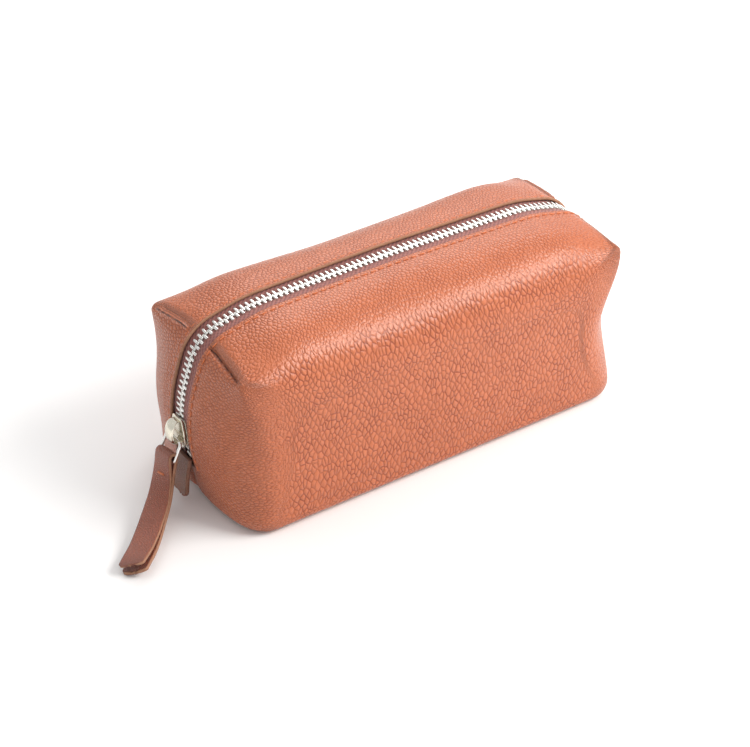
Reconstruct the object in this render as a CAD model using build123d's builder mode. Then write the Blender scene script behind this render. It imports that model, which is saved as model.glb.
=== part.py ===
from build123d import *
from math import asin, cos, degrees, radians, sin, sqrt, tan
import os

os.makedirs("parts", exist_ok=True)

# A zipped leather travel pouch that stands on its flat bottom, in millimetres.
# X runs along the bag, Y from its front (-Y) to its back, and Z is up.
# The origin is the middle of the bottom face.

# Layers of the wall, from the outside in
leather = 1.3
lining_cloth = 0.5
tape_cloth = 0.6
layer_gap = 0.05
lining_gap = 0.15

# Outline along the zip, seen from the front. Rises count from the place named before them.
end_reach = 102.3
end_arc_radius = 94.0
end_arc_height = 38.0
end_arc_foot = 20.1
end_arc_top = 68.1
ridge_corner_rise = 10.5
ridge_corner_radius = 20.0
ridge_rise = 7.7
roof_pitch = 14.0
roof_radius = 68.0
crown_pitch = 1.0
crown_radius = 600.0
foot_radius = 9.0

# Across the bag, from the zip band to the front face
band_half = 12.3
tip_half_width = 35.6
face_half_width = 41.0
rib_steps = 9

# Outline at the front face
face_foot = 84.6
face_foot_rise = 5.0
face_waist = 75.5
face_corner = 74.8
face_corner_rise = 50.8
face_shoulder = 48.0
face_shoulder_rise = 2.2
face_apex_rise = 2.0
face_corner_radius = 15.0
face_foot_radius = 5.0
tip_radius = 2.5
least_radius = 0.3

# From the band to the face each corner of the outline first leans in by a share of the way, then
# turns along a superellipse. Each row is that share and the power, for x and then for z.
foot_turn = ((0.0, 3.5), (0.0, 8.0))
waist_turn = ((0.0, 1.3), (0.0, 2.0))
corner_turn = ((-0.06, 16.0), (0.215, 18.0))
shoulder_turn = ((0.0, 8.0), (0.0, 2.8))
apex_turn = ((0.0, 1.0), (0.0, 1.7))

# Zip
window_half = 6.2
window_foot = 20.0
lining_window_half = 8.0
tape_inner_edge = 0.85
tape_outer_edge = 11.3
tape_foot = 20.6
tooth_pitch = 2.54
tooth_width = 1.15
tooth_height = 2.7
tooth_reach = 2.9
tooth_head = 0.8
tooth_gap = 0.05
chain_foot = 27.2
parting_shift = 1.5
parting_length = 4.0
stop_length = 2.2
stop_search_step = 0.3

# Slider, which rides on the arc of the near end
slider_height = 36.6
slider_length = 13.0
slider_narrow = 7.8
slider_wide = 10.4
slider_nose = 6.9
slider_mouth = 6.8
plate_thickness = 1.1
slider_play = 0.1
tape_play = 0.15
post_width = 0.9
post_length = 3.4

# Crown, lock spring and ring
crown_width = 3.2
crown_length = 9.4
crown_rise = 5.0
crown_wall = 0.9
crown_sink = 2.0
crown_bend = 2.3
crown_eye_bend = 1.0
spring_width = 2.0
spring_thickness = 0.3
prong = 0.8
prong_play = 0.15
prong_place = 2.2
spring_length = 4.6
ring_wire = 1.3
ring_spacing = 11.2
ring_drop = 9.2
ring_corner = 1.5
ring_lean = 25.0
ring_seat = 2.7
ring_lift = 2.6

# Strap, tack and end tabs
strap_width = 9.6
strap_tip_width = 5.0
strap_play = 0.4
strap_tilt = (0.49, -0.78, 0.39)
tack_length = 3.0
thread = 0.5
tab_width = 10.5
tab_thickness = 1.7
tab_tip = 4.7
tab_root = 23.4
tab_chamfer = 2.4

# Sewing beside the zip
stitch_offset = 8.2
stitch_pitch = 4.0
stitch_length = 3.1

# The zip's mid-plane lies in the middle of the tape
chain_depth = leather + layer_gap + tape_cloth / 2
teeth_top = chain_depth - tooth_height / 2
lining_depth = leather + 2 * layer_gap + tape_cloth + lining_gap
arc_centre_x = end_arc_radius - end_reach
far = 2 * end_reach
tip_share = (tip_half_width - band_half) / (face_half_width - band_half)
end_lean_up = asin((end_arc_top - end_arc_height) / end_arc_radius)
end_lean_down = asin((end_arc_height - end_arc_foot) / end_arc_radius)


def turned(low, high, share, turn):
    """From low at the zip band to high at the face, by a lean and a superellipse."""
    lean, power = turn
    return low + (high - low) * (lean * share + (1 - lean) * (1 - sqrt(1 - share**power)))


def half_outline(share):
    """Corners (x, z, radius) of half an outline, foot to apex.

    share goes from 0 at the zip band to 1 at the front face.
    """
    spread = (end_lean_up + end_lean_down) / 2
    middle = (end_lean_up - end_lean_down) / 2
    waist_x = -arc_centre_x + end_arc_radius / cos(spread) * cos(middle)
    waist_z = end_arc_height + end_arc_radius / cos(spread) * sin(middle)
    foot_x = waist_x - waist_z * tan(end_lean_down)
    corner_z = end_arc_top + ridge_corner_rise
    corner_x = waist_x - (corner_z - waist_z) * tan(end_lean_up)
    roof = tan(radians(roof_pitch))
    crown = tan(radians(crown_pitch))
    shoulder_x = (corner_x * roof - ridge_rise) / (roof - crown)
    apex_z = corner_z + ridge_rise
    face_corner_z = face_foot_rise + face_corner_rise
    face_shoulder_z = face_corner_z + face_shoulder_rise
    face_waist_z = face_foot_rise + face_corner_rise / 2
    lower_radius = foot_radius + (face_foot_radius - foot_radius) * share**4
    if share < tip_share:
        corner_radius = tip_radius + (ridge_corner_radius - tip_radius) * (1 - share / tip_share)
    else:
        past_tip = (share - tip_share) / (1 - tip_share)
        corner_radius = tip_radius + (face_corner_radius - tip_radius) * past_tip
    corners = [
        ((foot_x, 0), (face_foot, face_foot_rise), foot_turn, lower_radius),
        ((waist_x, waist_z), (face_waist, face_waist_z), waist_turn, end_arc_radius),
        ((corner_x, corner_z), (face_corner, face_corner_z), corner_turn, corner_radius),
        (
            (shoulder_x, apex_z - shoulder_x * crown),
            (face_shoulder, face_shoulder_z),
            shoulder_turn,
            roof_radius,
        ),
        ((0, apex_z), (0, face_shoulder_z + face_apex_rise), apex_turn, crown_radius),
    ]
    return [
        (
            turned(band[0], face[0], share, turn[0]),
            turned(band[1], face[1], share, turn[1]),
            radius,
        )
        for band, face, turn, radius in corners
    ]


def drawn_in(corners, inset):
    """Move every side of a closed outline in by the inset, and take it off each radius."""
    moved = []
    for i, (x, z, radius) in enumerate(corners):
        here = Vector(x, z)
        into = (here - Vector(*corners[i - 1][:2])).normalized()
        out = (Vector(*corners[(i + 1) % len(corners)][:2]) - here).normalized()
        normal_in = Vector(-into.Y, into.X)
        normal_out = Vector(-out.Y, out.X)
        move = (normal_in + normal_out) * (inset / (1 + normal_in.dot(normal_out)))
        moved.append((x + move.X, z + move.Y, max(radius - inset, least_radius)))
    return moved


def full_outline(share, inset):
    """Closed outline, counter-clockwise from the right foot, in from the leather's face."""
    half = half_outline(share)
    left = [(-x, z, radius) for x, z, radius in reversed(half[:-1])]
    return drawn_in(half + left, inset)


def rib_face(share, inset):
    """The filled outline, in the sketch that is open."""
    corners = full_outline(share, inset)
    with BuildLine() as outline:
        FilletPolyline([c[:2] for c in corners], radius=[c[2] for c in corners], close=True)
    make_face(outline.edges())


def half_form(inset):
    """The front half of the bag's form as a solid, in from the leather's face."""
    with BuildPart() as half:
        with BuildSketch(Plane.XZ):
            rib_face(0, inset)
        extrude(amount=band_half)
        for step in range(rib_steps + 1):
            share = 1 - (1 - step / rib_steps) ** 2
            out = band_half + (face_half_width - inset - band_half) * share
            with BuildSketch(Plane.XZ.offset(out)):
                rib_face(share, inset)
        loft(ruled=True)
    return half.part


def zip_band(inset, near, wide):
    """A slab of the form under the zip, from y = -near to y = -wide."""
    with BuildPart() as band:
        with BuildSketch(Plane.XZ.offset(near)):
            rib_face(0, inset)
        extrude(amount=wide - near)
    return band.part


def above(height, half_width):
    """Everything over a height, near the middle plane, to cut the long window with."""
    with BuildPart() as block:
        with BuildSketch(Plane.XY.offset(height)):
            Rectangle(2 * far, 2 * half_width)
        extrude(amount=far)
    return block.part


def zip_route(depth):
    """Line over the bag in its middle plane, from the near foot to the far one."""
    corners = list(reversed(full_outline(0, depth)))
    with BuildLine(Plane.XZ) as route:
        FilletPolyline([c[:2] for c in corners], radius=[c[2] for c in corners[1:-1]])
    return route.wire()


def places_along(route, first, pitch, lowest):
    """Planes along a route, x along it and z out of the bag, above a lowest height."""
    places = []
    distance = first
    while distance < route.length:
        point = route.position_at(distance, position_mode=PositionMode.LENGTH)
        along = route.tangent_at(distance, position_mode=PositionMode.LENGTH)
        if point.Z > lowest:
            outward = Vector(-along.Z, 0, along.X)
            places.append(Plane(origin=point, x_dir=along, z_dir=outward))
        distance += pitch
    return places


def parting(place):
    """How far a row of teeth stands off the middle, spread by the slider's post."""
    if place.origin.X > 0:
        return 0
    top = slider_height + parting_length / 4
    return parting_shift * min(max((top - place.origin.Z) / parting_length, 0), 1)


def moved_aside(place, distance):
    """The same plane, moved along Y."""
    return Plane(
        origin=place.origin + Vector(0, distance, 0), x_dir=place.x_dir, z_dir=place.z_dir
    )


def mirrored(part, plane):
    """The other hand of a finished piece."""
    with BuildPart() as other:
        mirror(part, about=plane)
    return other.part


# Leather: two panels that meet at the middle plane under the zip's ends and along the bottom
with BuildPart() as front_panel:
    add(half_form(0))
    add(half_form(leather), mode=Mode.SUBTRACT)
    add(above(window_foot, window_half), mode=Mode.SUBTRACT)
back_panel = mirrored(front_panel.part, Plane.XZ)

# Lining: the same form again inside the tape, cut back from the teeth
with BuildPart() as lining_front:
    add(half_form(lining_depth))
    add(half_form(lining_depth + lining_cloth), mode=Mode.SUBTRACT)
    add(above(window_foot, lining_window_half), mode=Mode.SUBTRACT)
lining_back = mirrored(lining_front.part, Plane.XZ)

# Tape: a strip under each lip of the window, whose inner edge carries the teeth
tape_depth = leather + layer_gap
spread_top = slider_height + parting_length / 4 + tooth_width / 2
with BuildPart() as zip_tape_front:
    add(zip_band(tape_depth, tape_inner_edge, tape_outer_edge))
    add(zip_band(tape_depth + tape_cloth, 0, band_half), mode=Mode.SUBTRACT)
    with BuildSketch(Plane.XY):
        Rectangle(2 * far, 2 * far)
    extrude(amount=tape_foot, mode=Mode.SUBTRACT)
    with BuildSketch(Plane.YZ):
        with BuildLine():
            Polyline(
                (0, spread_top),
                (-tape_inner_edge, spread_top),
                (-tape_inner_edge - parting_shift, spread_top - parting_length),
                (-tape_inner_edge - parting_shift, 0),
                (0, 0),
                close=True,
            )
        make_face()
    extrude(amount=-far, mode=Mode.SUBTRACT)
zip_tape_back = mirrored(zip_tape_front.part, Plane.XZ)


def zip_tooth(length, head):
    """One metal tooth or stop of the front row, clamped round the edge of the tape."""
    with BuildPart() as tooth:
        with BuildSketch(Plane.YZ):
            with Locations(((head - tooth_reach) / 2, 0)):
                Rectangle(tooth_reach + head, tooth_height)
            slot = tooth_reach - tape_inner_edge + tooth_gap
            with Locations((-tooth_reach + slot / 2, 0)):
                Rectangle(slot, tape_cloth + 2 * tooth_gap, mode=Mode.SUBTRACT)
        extrude(amount=length / 2, both=True)
    return tooth.part


# Teeth: the rows stand half a pitch apart, and part round the slider's post
chain = zip_route(chain_depth)
front_tooth = zip_tooth(tooth_width, tooth_head)
back_tooth = mirrored(front_tooth, Plane.XZ)
front_places = places_along(chain, 0, tooth_pitch, chain_foot)
back_places = places_along(chain, tooth_pitch / 2, tooth_pitch, chain_foot)
with BuildPart() as zip_teeth_front:
    with Locations([moved_aside(place, -parting(place)) for place in front_places]):
        add(front_tooth, clean=False)
with BuildPart() as zip_teeth_back:
    with Locations([moved_aside(place, parting(place)) for place in back_places]):
        add(back_tooth, clean=False)

# Stops: one crimped on each tape under the slider, and a box over both at the far end
stop_near = places_along(chain, 0, stop_search_step, chain_foot - stop_length)[0]
stop_far = places_along(chain, 0, stop_search_step, chain_foot - stop_length)[-1]
top_stop = zip_tooth(stop_length, 0)
with BuildPart() as zip_top_stops:
    with Locations(moved_aside(stop_near, -parting_shift)):
        add(top_stop)
    with Locations(moved_aside(stop_near, parting_shift)):
        add(mirrored(top_stop, Plane.XZ))
with BuildPart() as zip_bottom_stop:
    with Locations(stop_far):
        add(zip_tooth(stop_length, tooth_gap))
        add(mirrored(zip_tooth(stop_length, tooth_gap), Plane.XZ))

# Slider: the arc that it follows turns about an axis along Y
end_axis = Axis((arc_centre_x, 0, end_arc_height), (0, 1, 0))
slider_angle = degrees(asin((slider_height - end_arc_height) / end_arc_radius))
slider_half_angle = degrees(slider_length / 2 / end_arc_radius)


def end_plane(angle):
    """Plane through the slider's turning axis, local x out through the near end."""
    out = Vector(-cos(radians(angle)), 0, sin(radians(angle)))
    centre = Vector(arc_centre_x, 0, end_arc_height)
    return Plane(origin=centre, x_dir=out, z_dir=out.cross(Vector(0, 1, 0)))


def end_sector(low, high, outer, inner, half_width):
    """Block that follows the near end, between two angles and two depths."""
    with BuildPart() as block:
        with BuildSketch(end_plane(low)):
            with Locations((end_arc_radius - (outer + inner) / 2, 0)):
                Rectangle(inner - outer, 2 * half_width)
        revolve(axis=end_axis, revolution_arc=high - low)
    return block.part


def end_plan(points):
    """Block through the near end, whose outline (y, height) is seen along the bag."""
    with BuildPart() as block:
        with BuildSketch(Plane.YZ):
            with BuildLine():
                Polyline(points + [(-y, z) for y, z in reversed(points)], close=True)
            make_face()
        extrude(amount=-far)
    return block.part


plate_inner = teeth_top - slider_play
plate_outer = plate_inner - plate_thickness
lower_inner = chain_depth + tooth_height / 2 + slider_play
lower_outer = lower_inner + plate_thickness
slider_low = slider_angle - slider_half_angle
slider_high = slider_angle + slider_half_angle
slider_base = slider_height - slider_length / 2
slider_top = slider_height + slider_length / 2
channel_narrow = tooth_reach + slider_play
channel_wide = channel_narrow + parting_shift
slider_face = Plane(
    origin=end_plane(slider_angle).from_local_coords((end_arc_radius - plate_outer, 0, 0)),
    x_dir=end_plane(slider_angle).z_dir * -1,
    z_dir=(0, -1, 0),
)
with BuildPart() as channel:
    add(end_sector(slider_low - 1, slider_high + 1, plate_inner, lower_inner, slider_wide))
    channel_plan = [
        (channel_wide, slider_base - 2),
        (channel_wide, spread_top - parting_length),
        (channel_narrow, spread_top),
        (channel_narrow, slider_top + 2),
    ]
    add(end_plan(channel_plan), mode=Mode.INTERSECT)
tape_slit_outer = tape_depth - tape_play
tape_slit_inner = tape_depth + tape_cloth + tape_play
with BuildPart() as slider_post:
    add(end_sector(slider_low, slider_angle, plate_outer, lower_outer, post_width / 2))
    with BuildSketch(Plane.XY.offset(slider_base + slider_play)):
        with Locations((-end_reach, 0)):
            Rectangle(end_reach, slider_wide)
    extrude(amount=post_length, mode=Mode.INTERSECT)
with BuildPart() as slider_body:
    add(end_sector(slider_low, slider_high, plate_outer, lower_outer, slider_wide / 2))
    slider_plan = [
        (slider_mouth / 2, slider_base - 1),
        (slider_wide / 2, slider_base + 2),
        (slider_wide / 2, slider_height + 0.5),
        (slider_narrow / 2, slider_top - 2),
        (slider_nose / 2, slider_top + 1),
    ]
    add(end_plan(slider_plan), mode=Mode.INTERSECT)
    add(channel.part, mode=Mode.SUBTRACT)
    add(
        end_sector(slider_low - 1, slider_high + 1, tape_slit_outer, tape_slit_inner, slider_wide),
        mode=Mode.SUBTRACT,
    )
    add(slider_post.part)
    with BuildSketch(slider_face):
        with Locations((prong_place, 0)):
            Rectangle(prong + 2 * prong_play, 2 * plate_thickness + tape_play)
    extrude(amount=prong / 2 + prong_play, both=True, mode=Mode.SUBTRACT)

# Crown: an arch along the slider's top plate, with the lock spring's leaf under it
under_plate = end_sector(slider_low - 2, slider_high + 2, plate_outer, lower_outer, slider_wide)
with BuildPart() as slider_crown:
    with BuildSketch(slider_face):
        with Locations((0, (crown_rise - crown_sink) / 2)):
            RectangleRounded(crown_length, crown_rise + crown_sink, crown_bend)
        eye_length = crown_length - 2 * crown_wall
        eye_rise = crown_rise - crown_wall
        with Locations((0, (eye_rise - crown_sink) / 2)):
            RectangleRounded(eye_length, eye_rise + crown_sink, crown_eye_bend, mode=Mode.SUBTRACT)
    extrude(amount=crown_width / 2, both=True)
    add(under_plate, mode=Mode.SUBTRACT)
with BuildPart() as slider_lock_spring:
    with BuildSketch(slider_face):
        with Locations((prong_place - spring_length / 2 + prong / 2, spring_thickness)):
            Rectangle(spring_length, spring_thickness)
    extrude(amount=spring_width / 2, both=True)
    with BuildSketch(slider_face):
        with Locations((prong_place, spring_thickness)):
            Rectangle(prong, spring_thickness + plate_thickness, align=(Align.CENTER, Align.MAX))
    extrude(amount=prong / 2, both=True)

# Ring: a closed wire loop whose top bar lies in the crown's eye
ring_top = slider_face.from_local_coords((-ring_seat, ring_lift, 0))
ring_down = Vector(-sin(radians(ring_lean)), 0, -cos(radians(ring_lean)))
ring_plane = Plane(origin=ring_top, x_dir=(0, 1, 0), z_dir=Vector(0, 1, 0).cross(ring_down))
ring_bar = ring_top + ring_down * ring_drop
with BuildPart() as pull_ring:
    with BuildLine(ring_plane) as ring_line:
        FilletPolyline(
            (-ring_spacing / 2, 0),
            (ring_spacing / 2, 0),
            (ring_spacing / 2, ring_drop),
            (-ring_spacing / 2, ring_drop),
            radius=ring_corner,
            close=True,
        )
    with BuildSketch(Plane(origin=ring_line.wire() @ 0, z_dir=ring_line.wire() % 0)):
        Circle(ring_wire / 2)
    sweep(path=ring_line.wire())

# Strap: one strip folded over the ring's lower bar. It hangs, then leans out over the table.
# Each station is the middle of the two layers, from the bar, and half the gap between them.
fold_inner = ring_wire / 2 + strap_play
strap_stations = [
    (0, 0, 0, fold_inner),
    (-1.3, -1.2, -8.2, 0.35),
    (-6.3, -6.0, -15.2, 0.15),
    (-14.8, -14.0, -19.0, 0.4),
    (-24.3, -22.5, -20.6, 0.9),
    (-31.5, -28.8, -21.1, 1.2),
    (-34.5, -31.5, -21.2, 1.3),
]


def strap_plane(station, side):
    """Section plane of one layer, x across the strap, y out of its face."""
    middles = [ring_bar + Vector(x, y, z) for x, y, z, gap in strap_stations]
    before = middles[max(station - 1, 0)]
    after = middles[min(station + 1, len(middles) - 1)]
    along = (after - before).normalized() if station else Vector(0, 0, -1)
    twist = station / (len(middles) - 1)
    across = Vector(0, -1, 0) * (1 - twist) + Vector(*strap_tilt) * twist
    across = (across - along * across.dot(along)).normalized()
    out = along.cross(across)
    offset = strap_stations[station][3] + leather / 2
    return Plane(origin=middles[station] + out * side * offset, x_dir=across, z_dir=along)


def strap_layer(side):
    """One layer of the strap, from the fold to the tapered tip."""
    last = len(strap_stations) - 1
    with BuildPart() as layer:
        for station in range(last + 1):
            with BuildSketch(strap_plane(station, side)):
                Rectangle(strap_tip_width if station == last else strap_width, leather)
        loft(ruled=True)
    return layer.part


with BuildPart() as pull_strap:
    with BuildSketch(Plane(origin=ring_bar, x_dir=(1, 0, 0), z_dir=(0, -1, 0))):
        Circle(fold_inner + leather)
        Circle(fold_inner, mode=Mode.SUBTRACT)
        Rectangle(
            4 * strap_width, 2 * strap_width, align=(Align.CENTER, Align.MAX), mode=Mode.SUBTRACT
        )
    extrude(amount=strap_width / 2, both=True)
    add(strap_layer(1))
    add(strap_layer(-1))
with BuildPart() as pull_tack:
    for side in (1, -1):
        with BuildSketch(strap_plane(1, side)):
            with Locations((0, side * ((leather + thread) / 2 + layer_gap))):
                Rectangle(tack_length, thread)
        extrude(amount=thread / 2, both=True)

# End tabs: sewn over each end of the zip, hanging from the window's foot
tab_inner_foot = end_reach + layer_gap
with BuildPart() as end_tab_near:
    with BuildSketch(Plane.XZ):
        root_x, tape_root_x = [
            arc_centre_x - sqrt((end_arc_radius - leather) ** 2 - (end_arc_height - height) ** 2)
            for height in (tab_root, window_foot + 2 * layer_gap)
        ]
        with BuildLine():
            Polyline(
                (root_x, tab_root),
                (tape_root_x, window_foot + 2 * layer_gap),
                (-end_reach + leather, window_foot + 2 * layer_gap),
                (-tab_inner_foot, window_foot - 4 * leather),
                (-tab_inner_foot - leather / 2, tab_tip),
                (-tab_inner_foot - leather / 2 - tab_thickness, tab_tip),
                (-tab_inner_foot - tab_thickness, window_foot - 4 * leather),
                (-end_reach - leather / 2, window_foot - leather / 2),
                (root_x - tab_thickness, tab_root),
                close=True,
            )
        make_face()
    extrude(amount=tab_width / 2, both=True)
    tip_corners = end_tab_near.edges().filter_by(Axis.X).group_by(Axis.Z)[0]
    chamfer(tip_corners, tab_chamfer)
end_tab_far = mirrored(end_tab_near.part, Plane.YZ)

# Topstitching: a row of thread in each panel beside the window
seam_route = zip_route(0)
seam_places = places_along(seam_route, stitch_pitch / 2, stitch_pitch, window_foot + 1)
with BuildPart() as topstitch_front:
    with Locations([moved_aside(place, -stitch_offset) for place in seam_places]):
        Box(stitch_length, thread, thread, align=(Align.CENTER, Align.CENTER, Align.MIN))
topstitch_back = mirrored(topstitch_front.part, Plane.XZ)

pieces = {
    "front_panel": front_panel.part,
    "back_panel": back_panel,
    "lining_front": lining_front.part,
    "lining_back": lining_back,
    "zip_tape_front": zip_tape_front.part,
    "zip_tape_back": zip_tape_back,
    "zip_teeth_front": zip_teeth_front.part,
    "zip_teeth_back": zip_teeth_back.part,
    "zip_top_stops": zip_top_stops.part,
    "zip_bottom_stop": zip_bottom_stop.part,
    "slider_body": slider_body.part,
    "slider_crown": slider_crown.part,
    "slider_lock_spring": slider_lock_spring.part,
    "pull_ring": pull_ring.part,
    "pull_strap": pull_strap.part,
    "pull_tack": pull_tack.part,
    "end_tab_near": end_tab_near.part,
    "end_tab_far": end_tab_far,
    "topstitch_front": topstitch_front.part,
    "topstitch_back": topstitch_back,
}
for name, piece in pieces.items():
    piece.label = name
    export_step(piece, f"parts/{name}.step")
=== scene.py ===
import bmesh
import bpy
from math import asin, cos, exp, pi, radians, sin, sqrt, tan
from mathutils import Matrix, Vector, noise


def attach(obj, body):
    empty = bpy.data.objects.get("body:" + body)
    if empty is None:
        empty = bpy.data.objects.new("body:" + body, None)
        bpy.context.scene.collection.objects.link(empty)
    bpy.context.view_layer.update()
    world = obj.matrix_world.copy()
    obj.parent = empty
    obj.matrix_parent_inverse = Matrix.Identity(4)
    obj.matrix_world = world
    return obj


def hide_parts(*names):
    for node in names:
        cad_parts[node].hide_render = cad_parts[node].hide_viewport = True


# Sizes are in millimetres and angles in degrees. Blender's own unit is the metre.
MM = 0.001
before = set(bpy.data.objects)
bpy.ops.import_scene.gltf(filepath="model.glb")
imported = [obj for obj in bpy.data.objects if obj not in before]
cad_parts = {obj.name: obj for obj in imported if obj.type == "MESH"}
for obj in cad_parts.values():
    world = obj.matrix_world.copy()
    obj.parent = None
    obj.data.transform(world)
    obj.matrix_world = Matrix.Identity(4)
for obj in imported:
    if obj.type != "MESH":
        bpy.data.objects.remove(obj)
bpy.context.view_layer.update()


# ---- Front and back leather panels ----
# Two sheets of soft pebbled leather, each wrapped over its half of the pouch. The zip band stands
# proud at the ends, four stitched darts give the sharp top corners, and the cut edges are left raw.
LEATHER = 1.3
BAND_HALF = 12.3
FACE_HALF = 41.0
TIP_HALF = 35.6
FRONT_LIP = 7.3
BACK_LIP = 5.4
WINDOW_FOOT = 20.0
END_REACH = 102.3
END_RADIUS = 94.0
END_HEIGHT = 38.0
END_ARC_FOOT = 20.1
END_ARC_TOP = 68.1
RIDGE_CORNER_RISE = 10.5
RIDGE_CORNER_RADIUS = 20.0
RIDGE_RISE = 7.7
ROOF_PITCH = 14.0
CROWN_PITCH = 1.0
TIP_RADIUS = 2.5
TIP_SHARE = (TIP_HALF - BAND_HALF) / (FACE_HALF - BAND_HALF)
FOOT_RADIUS = 9.0
FACE_FOOT_RADIUS = 5.0
FACE_CORNER_RADIUS = 15.0
SHOULDER_RADIUS = 68.0
APEX_RADIUS = 600.0
FOOT_AT_FACE = (84.6, 5.0)
WAIST_AT_FACE = (75.5, 30.4)
CORNER_AT_FACE = (74.8, 55.8)
SHOULDER_AT_FACE = (48.0, 58.0)
APEX_AT_FACE = (0.0, 60.0)
# How each of those corners turns from the band's place to the face's: lean and power, along x and z.
CORNER_TURNS = (
    ((0.0, 3.5), (0.0, 8.0)),
    ((0.0, 1.3), (0.0, 2.0)),
    ((-0.06, 16.0), (0.215, 18.0)),
    ((0.0, 8.0), (0.0, 2.8)),
    ((0.0, 1.0), (0.0, 1.7)),
)
FACE_CROWN = 1.2
END_COLUMNS = 64
ROOF_COLUMNS = 168
BOTTOM_COLUMNS = 90
BAND_ROWS = 12
TURN_ROWS = 34
FACE_ROWS = 30
LIP_TO_STITCH = 2.1
STITCH_PRESS = 0.22
STITCH_GROOVE = 0.5
CLOSED_LIP = 0.12
LIP_CLOSING = 2.5
SEAM_TUCK = 1.2
LIP_LIFT_CENTRE = 30.0
FAR_END_DRAWN_IN = 5.4
NEAR_END_DRAWN_IN = 0.8
WAIST_HEIGHT = 38.0
MIDDLE_HEIGHT = 35.0
COLUMN_CROWDING = 0.74
FACE_WAVE = 0.9
TOP_WAVE = 0.7
SHEET_GAP = 300.0
DART_START = 9.2
DART_SHARE = 0.66
DART_DEPTH = 0.9
DART_WIDTH = 0.8


def ridge_corners():
    """The zip band's outline without its arcs, on the right: foot, waist, corner, shoulder and apex."""
    lean_up = asin((END_ARC_TOP - END_HEIGHT) / END_RADIUS)
    lean_down = asin((END_HEIGHT - END_ARC_FOOT) / END_RADIUS)
    opening, middle = (lean_up + lean_down) / 2, (lean_up - lean_down) / 2
    waist_x = END_REACH - END_RADIUS + END_RADIUS / cos(opening) * cos(middle)
    waist_z = END_HEIGHT + END_RADIUS / cos(opening) * sin(middle)
    corner_z = END_ARC_TOP + RIDGE_CORNER_RISE
    corner_x = waist_x - (corner_z - waist_z) * tan(lean_up)
    roof, crown = tan(radians(ROOF_PITCH)), tan(radians(CROWN_PITCH))
    shoulder_x = (corner_x * roof - RIDGE_RISE) / (roof - crown)
    apex_z = corner_z + RIDGE_RISE
    return [
        (waist_x - waist_z * tan(lean_down), 0.0),
        (waist_x, waist_z),
        (corner_x, corner_z),
        (shoulder_x, apex_z - shoulder_x * crown),
        (0.0, apex_z),
    ]


def turned(low, high, share, turn):
    """From low at the zip band to high at the face, by a lean and a superellipse."""
    lean, power = turn
    return low + (high - low) * (lean * share + (1 - lean) * (1 - sqrt(max(0.0, 1 - share**power))))


def outline_corners(share, inset):
    """The closed outline's corners (x, z, radius) from the right foot, at a share of the way in.

    The share is 0 at the zip band and 1 at the face.
    """
    faces = (FOOT_AT_FACE, WAIST_AT_FACE, CORNER_AT_FACE, SHOULDER_AT_FACE, APEX_AT_FACE)
    foot_radius = FOOT_RADIUS + (FACE_FOOT_RADIUS - FOOT_RADIUS) * share**4
    if share < TIP_SHARE:
        corner_radius = TIP_RADIUS + (RIDGE_CORNER_RADIUS - TIP_RADIUS) * (1 - share / TIP_SHARE)
    else:
        past_tip = (share - TIP_SHARE) / (1 - TIP_SHARE)
        corner_radius = TIP_RADIUS + (FACE_CORNER_RADIUS - TIP_RADIUS) * past_tip**1.3
    radii = (foot_radius, END_RADIUS, corner_radius, SHOULDER_RADIUS, APEX_RADIUS)
    right = [
        (turned(b[0], f[0], share, t[0]), turned(b[1], f[1], share, t[1]), r)
        for b, f, t, r in zip(ridge_corners(), faces, CORNER_TURNS, radii)
    ]
    corners = right + [(-x, z, r) for x, z, r in reversed(right[:-1])]
    moved = []
    for i, (x, z, r) in enumerate(corners):
        here = Vector((x, z))
        into = (here - Vector(corners[i - 1][:2])).normalized()
        out = (Vector(corners[(i + 1) % len(corners)][:2]) - here).normalized()
        normals = Vector((-into.y, into.x)), Vector((-out.y, out.x))
        move = (normals[0] + normals[1]) * (inset / (1 + normals[0].dot(normals[1])))
        moved.append((x + move.x, z + move.y, max(r - inset, 0.3)))
    return moved


def corner_arc(corners, k, steps):
    """Points on the arc that rounds one corner of a closed outline."""
    here = Vector(corners[k][:2])
    back = Vector(corners[k - 1][:2]) - here
    on = Vector(corners[(k + 1) % len(corners)][:2]) - here
    angle = back.angle(on) / 2
    reach = min(corners[k][2] / tan(angle), 0.49 * back.length, 0.49 * on.length)
    start = here + back.normalized() * reach
    centre = here + (back.normalized() + on.normalized()).normalized() * (reach / cos(angle))
    arm = start - centre
    outward = 1 if back.cross(on) < 0 else -1
    arc = []
    for step in range(steps + 1):
        turn = outward * (pi - 2 * angle) * step / steps
        swung = Vector((arm.x * cos(turn) - arm.y * sin(turn), arm.x * sin(turn) + arm.y * cos(turn)))
        arc.append(centre + swung)
    return arc


def spread(points, count):
    """Points along a line from its start up to its end, close together near both ends."""
    lengths = [0.0]
    for a, b in zip(points, points[1:]):
        lengths.append(lengths[-1] + (b - a).length)
    placed = []
    k = 0
    for step in range(count):
        t = step / count
        distance = lengths[-1] * (t - COLUMN_CROWDING * sin(2 * pi * t) / (2 * pi))
        while lengths[k + 1] < distance:
            k += 1
        part = (distance - lengths[k]) / (lengths[k + 1] - lengths[k])
        placed.append(points[k].lerp(points[k + 1], part))
    return placed


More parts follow.
